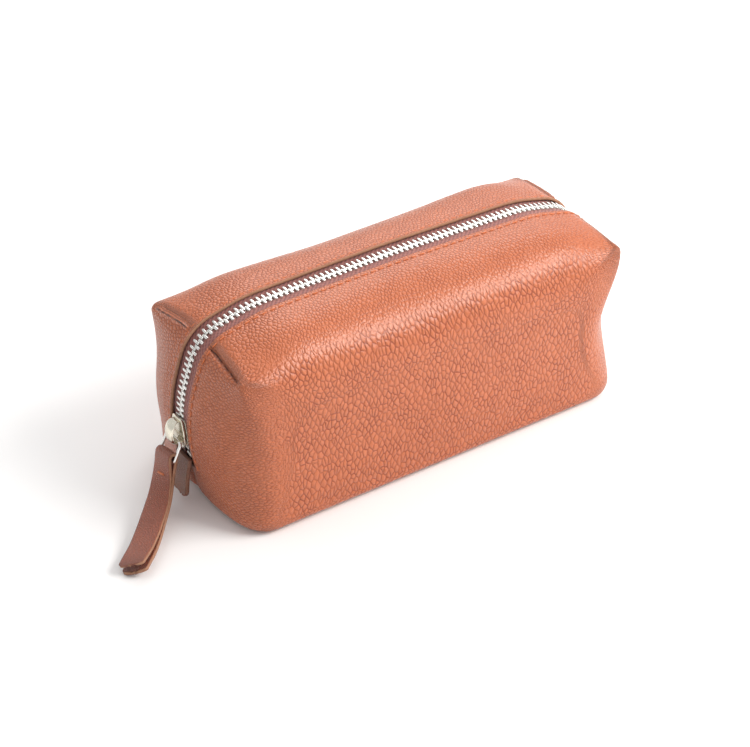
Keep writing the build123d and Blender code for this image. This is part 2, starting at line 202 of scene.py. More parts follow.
def rounded(corners):
    """Points round a closed outline, from the middle of its right foot.

    A column stands at the middle of each foot and of each upper corner, whatever the outline.
    """
    half_arc = 12
    arcs = [corner_arc(corners, k, 2 * half_arc) for k in range(len(corners))]
    stretches = (
        ([0, 1, 2], END_COLUMNS),
        ([2, 3, 4, 5, 6], ROOF_COLUMNS),
        ([6, 7, 8], END_COLUMNS),
        ([8, 0], BOTTOM_COLUMNS),
    )
    points = []
    for ks, count in stretches:
        line = arcs[ks[0]][half_arc:]
        for k in ks[1:-1]:
            line += arcs[k]
        line += arcs[ks[-1]][: half_arc + 1]
        line = [line[0]] + [b for a, b in zip(line, line[1:]) if (b - a).length > 1e-6]
        points += spread(line, count)
    return points


def smooth(low, high, value):
    """0 below low, 1 above high, and an even S between them."""
    t = min(max((value - low) / (high - low), 0.0), 1.0)
    return t * t * (3 - 2 * t)


def slack(x, y, z):
    """How the filled pouch's soft leather departs from its pattern: drawn-in ends and gentle waves."""
    wide = smooth(14, 30, abs(y))
    waist = exp(-(((z - WAIST_HEIGHT) / 20) ** 2))
    dx = -FAR_END_DRAWN_IN * wide * waist * smooth(40, 95, x)
    dx -= NEAR_END_DRAWN_IN * wide * waist * smooth(40, 95, -x)
    spot = Vector((x / 52, y / 40, z / 34))
    wave = noise.noise(spot + Vector((3.1, 7.7, 1.3)))
    dy = -FACE_WAVE * wave * wide * smooth(4, 22, z) * (1 if y > 0 else -1)
    dz = TOP_WAVE * noise.noise(spot * 1.3) * wide * smooth(20, 60, z)
    return Vector((x + dx, y + dy, z + dz))


rows = [("band", step / BAND_ROWS) for step in range(BAND_ROWS + 1)]
rows += [("turn", 1 - (1 - step / TURN_ROWS) ** 2) for step in range(1, TURN_ROWS + 1)]
rows += [("face", step / FACE_ROWS) for step in range(1, FACE_ROWS + 1)]


def panel_point(row, column_point, side, inset, lip_place, lift):
    """One point of a panel, in millimetres, from its row and its place on the row's outline."""
    kind, share = row
    x, z = column_point
    if kind == "band":
        closed = 1 - smooth(WINDOW_FOOT - LIP_CLOSING, WINDOW_FOOT, z)
        lip = lip_place + (CLOSED_LIP - lip_place) * closed
        y = lip + (BAND_HALF - lip) * share
        pressed = STITCH_PRESS * exp(-(((y - lip_place - LIP_TO_STITCH) / STITCH_GROOVE) ** 2))
        raised = (lift * (1 - share) ** 2 - pressed) * (1 - closed)
        outward = Vector((x, z - LIP_LIFT_CENTRE)).normalized() * raised
        tuck = SEAM_TUCK * (1 - share) ** 4 * closed
        x += outward.x - (tuck if z > 2 else 0) * (1 if x > 0 else -1)
        z += outward.y + (tuck if z <= 2 else 0)
    elif kind == "turn":
        y = BAND_HALF + (FACE_HALF - inset - BAND_HALF) * share
    else:
        y = FACE_HALF - inset + FACE_CROWN * share * share * (3 - 2 * share)
        middle_z = (APEX_AT_FACE[1] + FOOT_AT_FACE[1]) / 2
        x = x * (1 - share)
        z = middle_z + (z - middle_z) * (1 - share)
    return slack(x, y * side, z)


def grain_place(point, side_line, distance, bend, row):
    """Where a point lies on the flat sheet its panel was cut from: the grain follows the leather.

    The roof, the ends and the bottom each fold back from the face. They meet smoothly round the
    face's corners, and at a dart's line beyond the tips.
    """
    kind, share = row
    if kind == "face":
        return Vector((point.x, point.z, 0))
    sign = 1 if side_line.x > 0 else -1
    up = 1 if side_line.y > MIDDLE_HEIGHT else -1
    over = Vector((point.x, side_line.y + up * distance, 0))
    round_end = Vector((side_line.x + sign * distance, point.z, 0))
    past_tip = max(0.0, (share - TIP_SHARE) / (1 - TIP_SHARE)) if kind == "turn" else 0.0
    reach = 0.2 + 0.8 * past_tip
    return over.lerp(round_end, smooth(-reach, reach, bend))


def corner_bends(line):
    """For each column: -1 on the roof or bottom, 1 on an end, and a slope between them at a corner."""
    bends = []
    for i, here in enumerate(line):
        run = line[(i + 1) % len(line)] - line[i - 1]
        lean = abs(run.y) / (abs(run.x) + abs(run.y))
        bends.append(min(max((lean - 0.45) / 0.35, -1), 1))
    return bends


def way_to_face(row):
    """The share of the way from the zip band to the face that a row's outline is taken at."""
    kind, share = row
    return {"band": 0.0, "turn": share, "face": 1.0}[kind]


def panel_mesh(side, inset, lip_place, lift):
    """A panel as one grid: columns round its outline, rows from the zip's lip to the face's middle."""
    outlines = {}
    for row in rows:
        share = way_to_face(row)
        if share not in outlines:
            outlines[share] = rounded(outline_corners(share, inset))
    face_line = outlines[1.0]
    count = len(face_line)
    bm = bmesh.new()
    bmesh.ops.create_grid(bm, x_segments=count, y_segments=len(rows) - 1, size=0.5)
    # A mask along the darts for the painted shade in their grooves.
    sheet_layer = bm.verts.layers.float_vector.new("sheet")
    dart_shade_layer = bm.verts.layers.float.new("seam")
    table = {}
    bends = corner_bends(face_line)
    for i in range(count):
        total = 0.0
        before = None
        for j in reversed(range(len(rows))):
            row = rows[j]
            point = panel_point(row, outlines[way_to_face(row)][i], side, inset, lip_place, lift)
            if row[0] != "face" and before is not None:
                total += (point - before).length
            before = point
            sheet = grain_place(point, face_line[i], total, bends[i], row)
            table[i, j] = point * MM, (sheet + Vector((SHEET_GAP * (side + 1), 0, 0))) * MM
    for v in bm.verts:
        i = round((v.co.x + 0.5) * count) % count
        j = round((v.co.y + 0.5) * (len(rows) - 1))
        v.co, v[sheet_layer] = table[i, j]
    bmesh.ops.remove_doubles(bm, verts=bm.verts, dist=1e-6)
    return bm, dart_shade_layer


def crease(bm, dart_shade_layer, places, depth, width):
    """Presses a sewn seam into a panel along lines between points in millimetres, and masks it for
    painted shade.
    """
    bm.normal_update()
    for start, end in places:
        a, b = Vector(start), Vector(end)
        axis = b - a
        for v in bm.verts:
            p = v.co / MM
            t = min(max((p - a).dot(axis) / axis.length_squared, 0.0), 1.0)
            away = (p - (a + axis * t)).length
            if away < 4 * width:
                press = exp(-((away / width) ** 2))
                v.co -= v.normal * depth * press * MM
                v[dart_shade_layer] = max(v[dart_shade_layer], exp(-((away / (0.45 * width)) ** 2)))


def new_material(name):
    """A material with its nodes, its links and its shader."""
    material = bpy.data.materials.new(name)
    material.use_nodes = True
    tree = material.node_tree
    return material, tree.nodes, tree.links, tree.nodes["Principled BSDF"]


def dyed(nodes, links, factor, low, high):
    """A colour between two, each a plain colour or another node's."""
    made = nodes.new("ShaderNodeMix")
    made.data_type = "RGBA"
    links.new(factor, made.inputs["Factor"])
    for socket, value in ((made.inputs["A"], low), (made.inputs["B"], high)):
        if isinstance(value, tuple):
            socket.default_value = (*value, 1)
        else:
            links.new(value, socket)
    return made.outputs["Result"]


def embossed(nodes, links, height, strength, distance, socket):
    """Bumps a shader's normal socket by a height. The distance is in millimetres."""
    bump = nodes.new("ShaderNodeBump")
    bump.inputs["Distance"].default_value = distance * MM
    if isinstance(strength, float):
        bump.inputs["Strength"].default_value = strength
    else:
        links.new(strength, bump.inputs["Strength"])
    links.new(height, bump.inputs["Height"])
    links.new(bump.outputs["Normal"], socket)


GRAIN_DEPTH = 0.42
POLISH_STRENGTH = 0.22
DART_SHADE = (0.035, 0.010, 0.006)


def leather_material(name, colour, dark, light, coarse):
    """Pebbled leather: tall lozenge grain, finer on the ends and the roof, with painted shade in thin
    furrows.
    """
    material, nodes, links, shader = new_material(name)
    place = nodes.new("ShaderNodeTexCoord")
    sheet = nodes.new("ShaderNodeAttribute")
    sheet.attribute_name = "sheet"
    seam = nodes.new("ShaderNodeAttribute")
    seam.attribute_name = "seam"

    def noise_at(vector, scale, detail):
        made = nodes.new("ShaderNodeTexNoise")
        made.inputs["Scale"].default_value = scale
        made.inputs["Detail"].default_value = detail
        links.new(vector, made.inputs["Vector"])
        return made

    def warped(vector, scale, reach):
        shift = nodes.new("ShaderNodeVectorMath")
        shift.operation = "MULTIPLY_ADD"
        shift.inputs[1].default_value = (reach, reach, 0)
        links.new(noise_at(vector, scale, 2).outputs["Color"], shift.inputs[0])
        links.new(vector, shift.inputs[2])
        return shift.outputs["Vector"]

    def span(value, low, high, to_low=0.0, to_high=1.0):
        made = nodes.new("ShaderNodeMapRange")
        made.interpolation_type = "SMOOTHSTEP"
        made.inputs["From Min"].default_value = low
        made.inputs["From Max"].default_value = high
        made.inputs["To Min"].default_value = to_low
        made.inputs["To Max"].default_value = to_high
        links.new(value, made.inputs["Value"])
        return made.outputs["Result"]

    def blend(factor, low, high):
        made = nodes.new("ShaderNodeMix")
        made.data_type = "FLOAT"
        links.new(factor, made.inputs["Factor"])
        links.new(low, made.inputs["A"])
        links.new(high, made.inputs["B"])
        return made.outputs["Result"]

    def reckon(operation, first, second):
        made = nodes.new("ShaderNodeMath")
        made.operation = operation
        for socket, value in zip(made.inputs, (first, second)):
            if isinstance(value, float):
                socket.default_value = value
            else:
                links.new(value, socket)
        return made.outputs["Value"]

    bent = warped(warped(sheet.outputs["Vector"], 45, 0.0035), 420, 0.0009)

    def pebbles(scale, stretch, turn):
        """The furrows between cells, and the domes of the cells."""
        stretched = nodes.new("ShaderNodeMapping")
        stretched.inputs["Scale"].default_value = stretch
        stretched.inputs["Rotation"].default_value = (0, 0, turn)
        links.new(bent, stretched.inputs["Vector"])
        found = []
        for feature in ("DISTANCE_TO_EDGE", "F1"):
            cells = nodes.new("ShaderNodeTexVoronoi")
            cells.feature = feature
            cells.voronoi_dimensions = "2D"
            cells.inputs["Scale"].default_value = scale
            cells.inputs["Randomness"].default_value = 0.8
            links.new(stretched.outputs["Vector"], cells.inputs["Vector"])
            found.append(cells.outputs["Distance"])
        return span(found[0], 0.0, 0.24), span(found[1], 0.0, 0.8, 1.0, 0.0)

    grain, dome = pebbles(coarse, (1.0, 0.56, 1.0), pi / 4)
    wrinkle, ridge = pebbles(coarse * 1.35, (0.70, 1.2, 1.0), 0.6)
    small, small_dome = pebbles(coarse * 1.35, (1.0, 0.8, 1.0), pi / 4)
    split = nodes.new("ShaderNodeSeparateXYZ")
    links.new(place.outputs["Object"], split.inputs["Vector"])
    ends = span(reckon("ABSOLUTE", split.outputs["X"], 0.0), 0.070, 0.092)
    roof = span(split.outputs["Z"], 0.074, 0.083)
    cut = blend(roof, blend(ends, grain, wrinkle), small)
    round_top = blend(roof, blend(ends, dome, ridge), small_dome)
    fine = noise_at(place.outputs["Object"], 2400, 3)
    patch = noise_at(place.outputs["Object"], 34, 3)
    # An uneven noise that sets how dark the painted shade in the furrows is.
    uneven_furrow_shade = span(noise_at(place.outputs["Object"], 120, 2).outputs["Fac"], 0.35, 0.65, 0.45, 1.0)

    height = reckon("ADD", reckon("MULTIPLY", cut, 0.6), reckon("MULTIPLY", round_top, 0.8))
    height = reckon("ADD", height, reckon("MULTIPLY", fine.outputs["Fac"], 0.12))
    embossed(nodes, links, height, span(roof, 0, 1, 1.0, 0.7), GRAIN_DEPTH, shader.inputs["Normal"])
    embossed(nodes, links, height, POLISH_STRENGTH, GRAIN_DEPTH, shader.inputs["Coat Normal"])
    tone = dyed(nodes, links, patch.outputs["Fac"], colour, light)
    # Painted shade in the furrows: the colour darkens towards the dark colour in the cuts between
    # pebbles, unevenly, and less on the roof and the ends.
    depth = reckon("MULTIPLY", reckon("SUBTRACT", 1.0, span(cut, 0.0, 0.55)), uneven_furrow_shade)
    depth = reckon("MULTIPLY", depth, span(reckon("MAXIMUM", roof, ends), 0, 1, 0.85, 0.62))
    furrow_shaded = dyed(nodes, links, depth, tone, dark)
    # Painted shade, nearly black, along the darts' grooves.
    dart_shaded = dyed(nodes, links, seam.outputs["Fac"], furrow_shaded, DART_SHADE)
    links.new(dart_shaded, shader.inputs["Base Color"])
    links.new(span(cut, 0, 1, 0.62, 0.42), shader.inputs["Roughness"])
    shader.inputs["Specular IOR Level"].default_value = 0.40
    shader.inputs["Coat Weight"].default_value = 0.45
    shader.inputs["Coat Roughness"].default_value = 0.25
    return material


def raw_edge_material(name, colour, dark):
    """The cut edge of the leather: pale, fibrous and dull."""
    material, nodes, links, shader = new_material(name)
    place = nodes.new("ShaderNodeTexCoord")
    fibres = nodes.new("ShaderNodeTexNoise")
    fibres.inputs["Scale"].default_value = 900
    fibres.inputs["Detail"].default_value = 4
    links.new(place.outputs["Object"], fibres.inputs["Vector"])
    tone = dyed(nodes, links, fibres.outputs["Fac"], dark, colour)
    links.new(tone, shader.inputs["Base Color"])
    embossed(nodes, links, fibres.outputs["Fac"], 0.5, 0.15, shader.inputs["Normal"])
    shader.inputs["Roughness"].default_value = 0.85
    return material


def finished(name, bm, materials, body, *nodes):
    """Turns a bmesh into a smooth object that rides on a body and stands for its CAD nodes."""
    mesh = bpy.data.meshes.new(name)
    bmesh.ops.recalc_face_normals(bm, faces=bm.faces)
    for face in bm.faces:
        face.smooth = True
    bm.to_mesh(mesh)
    bm.free()
    for material in materials:
        mesh.materials.append(material)
    made = bpy.data.objects.new(name, mesh)
    bpy.context.scene.collection.objects.link(made)
    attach(made, body)
    if nodes:
        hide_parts(*nodes)
    return made


LEATHER_COLOUR = (0.45, 0.112, 0.038)
# The dark colour is painted shade in the grain's furrows.
LEATHER_FURROW_SHADE = (0.24, 0.034, 0.008)
LEATHER_LIGHT = (0.54, 0.146, 0.054)
PEBBLES_PER_METRE = 520
EDGE_COLOUR = (0.44, 0.23, 0.14)
EDGE_DARK = (0.25, 0.11, 0.06)
leather = leather_material(
    "pebbled_leather", LEATHER_COLOUR, LEATHER_FURROW_SHADE, LEATHER_LIGHT, PEBBLES_PER_METRE
)
raw_edge = raw_edge_material("raw_leather_edge", EDGE_COLOUR, EDGE_DARK)


def dart(side, end, share):
    """A point on the top corner's line at one end of the bag, at a share of the way to the face."""
    below, corner, above = outline_corners(share, 0)[1:4]
    back, here, on = Vector(below[:2]), Vector(corner[:2]), Vector(above[:2])
    radius = corner[2]
    bisector = ((back - here).normalized() + (on - here).normalized()).normalized()
    angle = (back - here).angle(on - here) / 2
    on_arc = here + bisector * (radius / sin(angle) - radius)
    y = BAND_HALF + (FACE_HALF - BAND_HALF) * share
    return slack(on_arc.x * end, y * side, on_arc.y)


for side, name, node, lip_place, lift in (
    (-1, "front_leather", "front_panel", FRONT_LIP, 0.2),
    (1, "back_leather", "back_panel", BACK_LIP, 0.8),
):
    bm, dart_shade_layer = panel_mesh(side, 0, lip_place, lift)
    places = []
    for end in (-1, 1):
        line = [dart(side, end, step / 10 * DART_SHARE) for step in range(11)]
        start = line[0].copy()
        start.y = side * DART_START
        line.insert(0, start)
        places += list(zip(line, line[1:]))
    crease(bm, dart_shade_layer, places, DART_DEPTH, DART_WIDTH)
    panel = finished(name, bm, [leather, raw_edge], "bag", node)
    thickness = panel.modifiers.new("leather_thickness", "SOLIDIFY")
    thickness.thickness = LEATHER * MM
    thickness.offset = -1
    thickness.material_offset_rim = 1


# ---- Lining ----
# A thin woven cotton bag inside the leather, sewn in with the zip's tape and cut back from its
# teeth. Nothing of it shows while the zip is closed.
LINING_DEPTH = 2.3
LINING_LIP = 8.0


def woven_material(name, colour, dark, pitch, attribute):
    """Plain or twill cloth: two crossing sets of yarn, with slubs and a soft sheen."""
    material, nodes, links, shader = new_material(name)
    place = nodes.new("ShaderNodeAttribute")
    place.attribute_name = attribute
    heights = []
    for angle in (45, -45):
        turned_place = nodes.new("ShaderNodeMapping")
        turned_place.inputs["Rotation"].default_value = (0, 0, radians(angle))
        links.new(place.outputs["Vector"], turned_place.inputs["Vector"])
        yarn = nodes.new("ShaderNodeTexWave")
        yarn.inputs["Scale"].default_value = 1 / (pitch * MM) / 20 * 3.14
        yarn.inputs["Distortion"].default_value = 0.6
        yarn.inputs["Detail"].default_value = 1
        links.new(turned_place.outputs["Vector"], yarn.inputs["Vector"])
        heights.append(yarn.outputs["Fac"])
    crossed = nodes.new("ShaderNodeMath")
    crossed.operation = "MULTIPLY_ADD"
    crossed.inputs[1].default_value = 0.45
    links.new(heights[1], crossed.inputs[0])
    links.new(heights[0], crossed.inputs[2])
    embossed(nodes, links, crossed.outputs["Value"], 0.8, 0.15, shader.inputs["Normal"])
    links.new(dyed(nodes, links, crossed.outputs["Value"], dark, colour), shader.inputs["Base Color"])
    shader.inputs["Roughness"].default_value = 0.9
    shader.inputs["Sheen Weight"].default_value = 0.25
    return material


cotton = woven_material("woven_cotton", (0.18, 0.10, 0.07), (0.10, 0.055, 0.04), 0.6, "sheet")
for side, name, node in ((-1, "front_lining", "lining_front"), (1, "back_lining", "lining_back")):
    bm, _ = panel_mesh(side, LINING_DEPTH, LINING_LIP, 0)
    lining = finished(name, bm, [cotton], "bag", node)


# ---- Zip tape ----
# Two strips of mauve-brown twill tape, sewn flat under the lips, whose inner edges carry the teeth.
# Under the slider they part round its post.
TAPE_DEPTH = 1.65
TAPE_THICK = 0.5
TAPE_IN = 0.85
TAPE_OUT = 11.0
TAPE_FOOT = 20.6
SLIDER_HEIGHT = 36.6
PARTING = 1.5
PARTING_LENGTH = 4.0
TAPE_SAG = 0.12
TAPE_COLUMNS = 360
TAPE_ROWS = 9


def zip_route(depth):
    """The zip's line over the bag from its near foot to its far one, at a depth under the leather."""
    corners = outline_corners(0, depth)
    points = [Vector(corners[-1][:2])]
    for k in reversed(range(1, len(corners) - 1)):
        points += reversed(corner_arc(corners, k, 40))
    points.append(Vector(corners[0][:2]))
    return points


def walk(points, distance):
    """The point, and the direction along the line, at a distance from the line's start."""
    for a, b in zip(points, points[1:]):
        length = (b - a).length
        if distance <= length and length > 0:
            return a.lerp(b, distance / length), (b - a).normalized()
        distance -= length
    return points[-1], (points[-1] - points[-2]).normalized()


def route_length(points):
    """The length of a line."""
    return sum((b - a).length for a, b in zip(points, points[1:]))


def first_above(points, height):
    """The first distance along a line, in tenths, at which it is above a height."""
    return next(d / 10 for d in range(4000) if walk(points, d / 10)[0].y > height)


def parted(x, z):
    """How far a row stands off the middle, spread by the slider's post."""
    if x > 0:
        return 0.0
    return PARTING * min(max((SLIDER_HEIGHT + PARTING_LENGTH / 4 - z) / PARTING_LENGTH, 0), 1)


tape_twill = woven_material("twill_tape", (0.33, 0.125, 0.105), (0.19, 0.062, 0.055), 0.75, "sheet")
tape_line = zip_route(TAPE_DEPTH)
tape_length = route_length(tape_line)
tape_start = first_above(tape_line, TAPE_FOOT)
for side, name, node in ((-1, "front_tape", "zip_tape_front"), (1, "back_tape", "zip_tape_back")):
    bm = bmesh.new()
    bmesh.ops.create_grid(bm, x_segments=TAPE_COLUMNS, y_segments=TAPE_ROWS, size=0.5)
    sheet_layer = bm.verts.layers.float_vector.new("sheet")
    for v in bm.verts:
        distance = tape_start + (tape_length - 2 * tape_start) * (v.co.x + 0.5)
        share = v.co.y + 0.5
        point, along = walk(tape_line, distance)
        y = TAPE_IN + parted(point.x, point.y) + (TAPE_OUT - TAPE_IN) * share
        sag = TAPE_SAG * sin(pi * share) * noise.noise(Vector((distance / 9, side, 0)))
        out = Vector((-along.y, along.x)) * sag
        v[sheet_layer] = Vector((distance, y * side, 0)) * MM
        v.co = Vector((point.x + out.x, y * side, point.y + out.y)) * MM
    tape = finished(name, bm, [tape_twill], "bag", node)
    thickness = tape.modifiers.new("tape_thickness", "SOLIDIFY")
    thickness.thickness = TAPE_THICK * MM
    thickness.offset = 0


# ---- Zip teeth and stops ----
# Bright nickel teeth, each a block clamped on the tape's edge with a flatter head that meets the
# heads of the other row. A crimped stop ends each tape below the slider, and a pair of them side by
# side ends the zip at the far end.
TOOTH_PITCH = 2.54
TOOTH_WIDTH = 1.15
TOOTH_HEIGHT = 2.6
TOOTH_REACH = 2.9
TOOTH_HEAD = 0.8
CHAIN_FOOT = 27.2
STOP_LENGTH = 2.2


def metal_material(name, colour, roughness, wear):
    """Plated metal with a faint ripple and duller spots."""
    material, nodes, links, shader = new_material(name)
    place = nodes.new("ShaderNodeTexCoord")
    spots = nodes.new("ShaderNodeTexNoise")
    spots.inputs["Scale"].default_value = 420
    spots.inputs["Detail"].default_value = 3
    links.new(place.outputs["Object"], spots.inputs["Vector"])
    dull = nodes.new("ShaderNodeMapRange")
    dull.inputs["To Min"].default_value = roughness
    dull.inputs["To Max"].default_value = roughness + wear
    links.new(spots.outputs["Fac"], dull.inputs["Value"])
    links.new(dull.outputs["Result"], shader.inputs["Roughness"])
    dim = tuple(c * 0.82 for c in colour)
    links.new(dyed(nodes, links, spots.outputs["Fac"], dim, colour), shader.inputs["Base Color"])
    embossed(nodes, links, spots.outputs["Fac"], 0.15, 0.1, shader.inputs["Normal"])
    shader.inputs["Metallic"].default_value = 1.0
    return material


nickel = metal_material("bright_nickel", (0.90, 0.89, 0.86), 0.14, 0.16)
pale_gold = metal_material("pale_gold_nickel", (0.88, 0.83, 0.70), 0.16, 0.18)


def placed_copy(bm, template, point, along, y):
    """Adds a copy of a small mesh whose x lies along the zip, y across it and z out of the bag."""
    out = Vector((-along.y, along.x))
    turn = Matrix(((along.x, 0, out.x), (0, 1, 0), (along.y, 0, out.y)))
    start = len(bm.verts)
    mesh = bpy.data.meshes.new("copy")
    template.to_mesh(mesh)
    bm.from_mesh(mesh)
    bpy.data.meshes.remove(mesh)
    bm.verts.ensure_lookup_table()
    for v in bm.verts[start:]:
        v.co = (turn @ v.co + Vector((point.x, y, point.y))) * MM


def tooth_mesh(side, length, head):
    """One tooth or stop in millimetres, round its own middle, for the row on that side."""
    tooth = bmesh.new()
    for low, high, width, height in (
        (-TOOTH_REACH, -0.2, length, TOOTH_HEIGHT),
        (-0.6, head, length * 1.04, TOOTH_HEIGHT * 0.72),
    ):
        made = bmesh.ops.create_cube(tooth, size=1)["verts"]
        bmesh.ops.scale(tooth, vec=(width, high - low, height), verts=made)
        bmesh.ops.translate(tooth, vec=(0, (high + low) / 2, 0), verts=made)
        edges = list({edge for v in made for edge in v.link_edges})
        bmesh.ops.bevel(
            tooth, geom=edges, offset=0.26, segments=2, affect="EDGES", profile=0.5, material=-1
        )
    if side > 0:
        bmesh.ops.scale(tooth, vec=(1, -1, 1), verts=tooth.verts)
        bmesh.ops.reverse_faces(tooth, faces=tooth.faces)
    return tooth


for side, name, node, start in (
    (-1, "front_teeth", "zip_teeth_front", 0.0),
    (1, "back_teeth", "zip_teeth_back", TOOTH_PITCH / 2),
):
    template = tooth_mesh(side, TOOTH_WIDTH, TOOTH_HEAD)
    bm = bmesh.new()
    distance = start
    while distance < tape_length:
        point, along = walk(tape_line, distance)
        if point.y > CHAIN_FOOT:
            placed_copy(bm, template, point, along, side * parted(point.x, point.y))
        distance += TOOTH_PITCH
    template.free()
    teeth = finished(name, bm, [nickel], "bag", node)

low_stop = first_above(tape_line, CHAIN_FOOT - STOP_LENGTH)
for name, node, distance, gap in (
    ("near_stops", "zip_top_stops", low_stop, PARTING),
    ("far_stop", "zip_bottom_stop", tape_length - low_stop, 0.0),
):
    bm = bmesh.new()
    for side in (-1, 1):
        template = tooth_mesh(side, STOP_LENGTH, 0.05)
        point, along = walk(tape_line, distance)
        placed_copy(bm, template, point, along, side * gap)
        template.free()
    stops = finished(name, bm, [nickel], "bag", node)


# ---- Slider ----
# A pale gold cast slider: a curved top plate and a lower plate joined by a post, lips that turn in
# down both sides, and a puffed cap along the top that holds the pull ring.
PLATE_OUT = 94.9
PLATE_THICK = 1.1
SLIDER_LENGTH = 13.0
SLIDER_WIDE = 10.4
SLIDER_NARROW = 7.8
SLIDER_DEPTH = 5.0
SHOULDER_ROUND = 2.6
MOUTH_ROUND = 1.6
PLATE_DOME = 0.25
FLANGE_THICK = 0.8
POST_LENGTH = 3.2
POST_THICK = 0.9
POST_BULGE = 0.18
SLIDER_COLUMNS = 22
SLIDER_ANGLE = asin((SLIDER_HEIGHT - END_HEIGHT) / END_RADIUS)


def on_slider(along, across, out):
    """A point over the slider's top plate: along the zip, across it, and out of the bag."""
    angle = SLIDER_ANGLE + along / END_RADIUS
    reach = PLATE_OUT + out
    return Vector(
        (
            END_RADIUS - END_REACH - cos(angle) * reach,
            across,
            END_HEIGHT + sin(angle) * reach,
        )
    )


def plate_half_width(along):
    """Half the slider's width: shoulders at the low end, and a narrow mouth at the high end."""
    half = SLIDER_LENGTH / 2
    taper = smooth(0, half - 1, along)
    width = SLIDER_WIDE / 2 + (SLIDER_NARROW - SLIDER_WIDE) / 2 * taper
    low_round = sqrt(1 - max(0.0, (-along - half + SHOULDER_ROUND) / SHOULDER_ROUND) ** 2 * 0.72)
    high_round = sqrt(1 - max(0.0, (along - half + MOUTH_ROUND) / MOUTH_ROUND) ** 2 * 0.6)
    return width * low_round * high_round


def sharp_edges(bm, least):
    """Edges between faces that meet at more than an angle."""
    bm.normal_update()
    found = []
    for edge in bm.edges:
        if len(edge.link_faces) == 2 and edge.calc_face_angle(0) > radians(least):
            found.append(edge)
    return found


def slider_part(bm, columns, across, thick, place):
    """Adds a bent plate: a grid placed on the slider, thickened, with its edges rounded."""
    part = bmesh.new()
    bmesh.ops.create_grid(part, x_segments=columns, y_segments=across, size=0.5)
    for v in part.verts:
        v.co = place(v.co.x + 0.5, v.co.y + 0.5)
    bmesh.ops.recalc_face_normals(part, faces=part.faces)
    bmesh.ops.solidify(part, geom=part.faces, thickness=thick)
    bmesh.ops.recalc_face_normals(part, faces=part.faces)
    bmesh.ops.bevel(
        part,
        geom=sharp_edges(part, 50),
        offset=0.22 * abs(thick),
        segments=2,
        affect="EDGES",
        profile=0.5,
        material=-1,
    )
    bmesh.ops.scale(part, vec=(MM, MM, MM), verts=part.verts)
    mesh = bpy.data.meshes.new("part")
    part.to_mesh(mesh)
    part.free()
    bm.from_mesh(mesh)
    bpy.data.meshes.remove(mesh)


def top_plate(a, b):
    """The top plate's outer face, slightly domed across."""
    along = (a - 0.5) * SLIDER_LENGTH
    half = plate_half_width(along)
    return on_slider(along, (2 * b - 1) * half, -PLATE_DOME * (2 * b - 1) ** 2)


def low_plate(a, b):
    """The lower plate, inside the zip."""
    along = (a - 0.5) * SLIDER_LENGTH
    return on_slider(along, (2 * b - 1) * plate_half_width(along), -SLIDER_DEPTH + PLATE_THICK)


def flange(side, out_from, out_to):
    """The lip that turns in down one side of a plate, between two heights."""

    def place(a, b):
        along = (a - 0.5) * (SLIDER_LENGTH - 1.6)
        half = plate_half_width(along) - 0.1
        return on_slider(along, side * half, out_from + (out_to - out_from) * b)

    return place


bm = bmesh.new()
slider_part(bm, SLIDER_COLUMNS, 10, -PLATE_THICK, top_plate)
slider_part(bm, SLIDER_COLUMNS, 10, -PLATE_THICK, low_plate)
for side in (-1, 1):
    slider_part(bm, SLIDER_COLUMNS, 2, FLANGE_THICK * side, flange(side, -0.6, -1.9))
    slider_part(bm, SLIDER_COLUMNS, 2, FLANGE_THICK * side, flange(side, -3.3, -4.4))


def post(a, b):
    """The post that joins the plates and parts the rows of teeth."""
    along = -SLIDER_LENGTH / 2 + 0.2 + POST_LENGTH * a
    across = -POST_THICK / 2 + POST_BULGE * sin(pi * a)
    return on_slider(along, across, -0.6 - (SLIDER_DEPTH - 1.4) * b)


slider_part(bm, 4, 4, POST_THICK, post)
slider = finished("slider_plates", bm, [pale_gold], "slider", "slider_body")

CAP_RISE = 5.0
CAP_LENGTH = 9.6
CAP_HALF = 2.3
CAP_THICK = 0.9
CAP_COLUMNS = 24


def cap_place(a, b):
    """The cap's outer skin: an arch along the slider that is widest and fullest in its middle."""
    turn = pi * a
    along = -cos(turn) * CAP_LENGTH / 2
    rise = CAP_RISE * sin(turn) ** 0.55 if 0 < a < 1 else 0.0
    full = 1 - 0.35 * abs(2 * a - 1) ** 2
    swing = (2 * b - 1) * 0.5 * pi
    width = CAP_HALF * full
    return on_slider(along, width * sin(swing), rise - 0.9 * (1 - cos(swing)) * full)


bm = bmesh.new()
slider_part(bm, CAP_COLUMNS, 10, -CAP_THICK, cap_place)
cap = finished("slider_cap", bm, [pale_gold], "slider", "slider_crown")


# ---- Lock spring and ring ----
# The CAD solids of the lock spring's leaf and of the bent wire ring have their true shape, so they
# stay, in bright nickel.
for node in ("slider_lock_spring", "pull_ring"):
    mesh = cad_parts[node].data
    mesh.materials.clear()
    mesh.materials.append(nickel)


# ---- Pull strap ----
# One strip of the panels' leather with a finer grain, its colour darkened as painted shade, folded
# over the ring's lower bar so that it hangs double. Its edges are raw, its tip is rounded, and the
# two layers part towards the tip, just over the table.
RING_TOP = Vector((-105.749, 0.0, 33.848))
RING_LEAN = 25.0
RING_DROP = 9.2
STRAP_WIDTH = 11.4
STRAP_SKEW = 0.22
STRAP_TILT = Vector((0.49, -0.78, 0.39))
FOLD_REACH = 1.8
FOLD_SHARE = 0.07
STRAP_TIP = 6.0
STRAP_CURL = 0.25
RING_BAR = RING_TOP + Vector((-sin(radians(RING_LEAN)), 0, -cos(radians(RING_LEAN)))) * RING_DROP
STRAP_STATIONS = [
    (0, 0, 0, FOLD_REACH),
    (-2.4, -0.9, -8.2, 1.0),
    (-7.6, -5.6, -15.0, 0.8),
    (-15.8, -13.8, -18.8, 1.05),
    (-24.3, -22.5, -20.6, 1.55),
    (-31.5, -28.8, -21.1, 1.85),
    (-34.5, -31.5, -21.2, 1.95),
]


